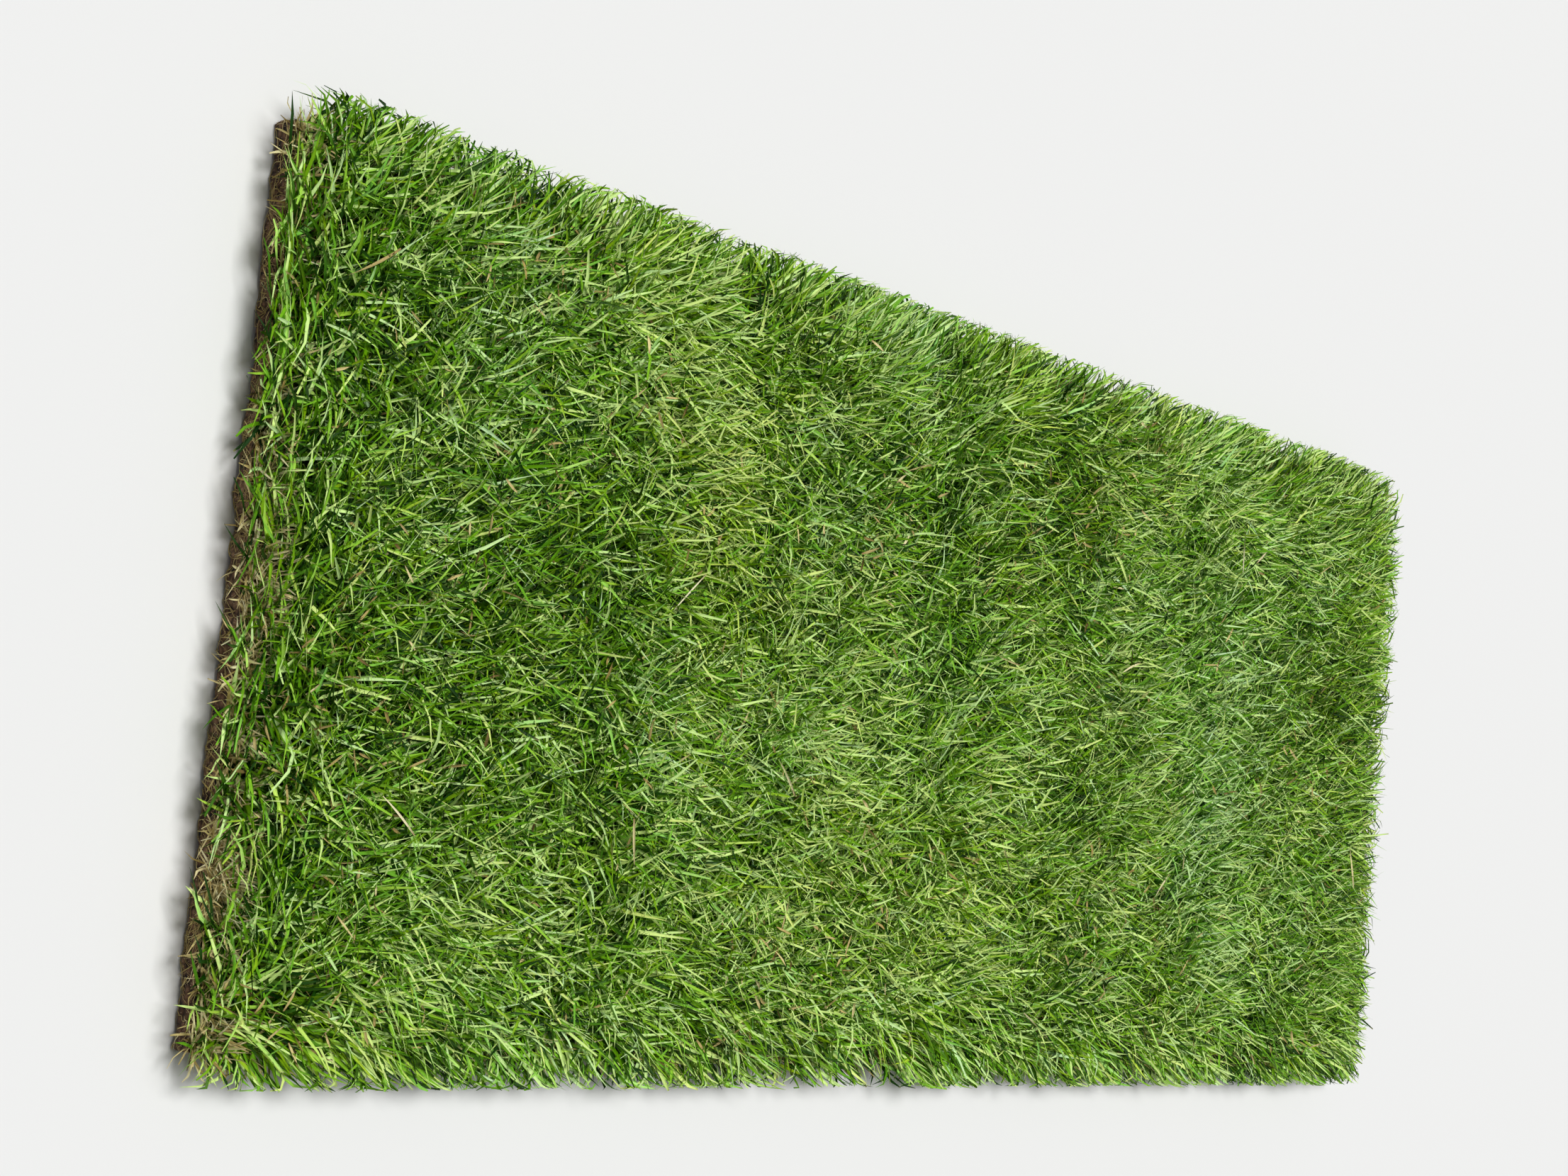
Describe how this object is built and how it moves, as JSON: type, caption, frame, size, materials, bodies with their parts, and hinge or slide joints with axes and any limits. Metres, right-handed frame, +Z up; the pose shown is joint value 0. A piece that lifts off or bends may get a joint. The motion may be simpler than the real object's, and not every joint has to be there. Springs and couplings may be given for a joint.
{
  "type": "roll of turf, unrolled and laid flat",
  "caption": "Strip of lawn turf unrolled from its roll: a flat mat of soil and roots under standing grass, cut square so that the next strip butts against it.",
  "frame": {"origin": "middle of the flat underside of the root mat", "axes": "+X along the strip, +Y across it, +Z up out of the grass"},
  "size_m": [1.524, 0.61, 0.0704],
  "materials": {
    "soil": "matte, moist, crumbly, bound by pale roots",
    "grass": "soft blades with a slight waxy sheen"
  },
  "bodies": {
    "root": {"root_mat": "soil", "grass_sward": "grass"}
  },
  "joints": []
}
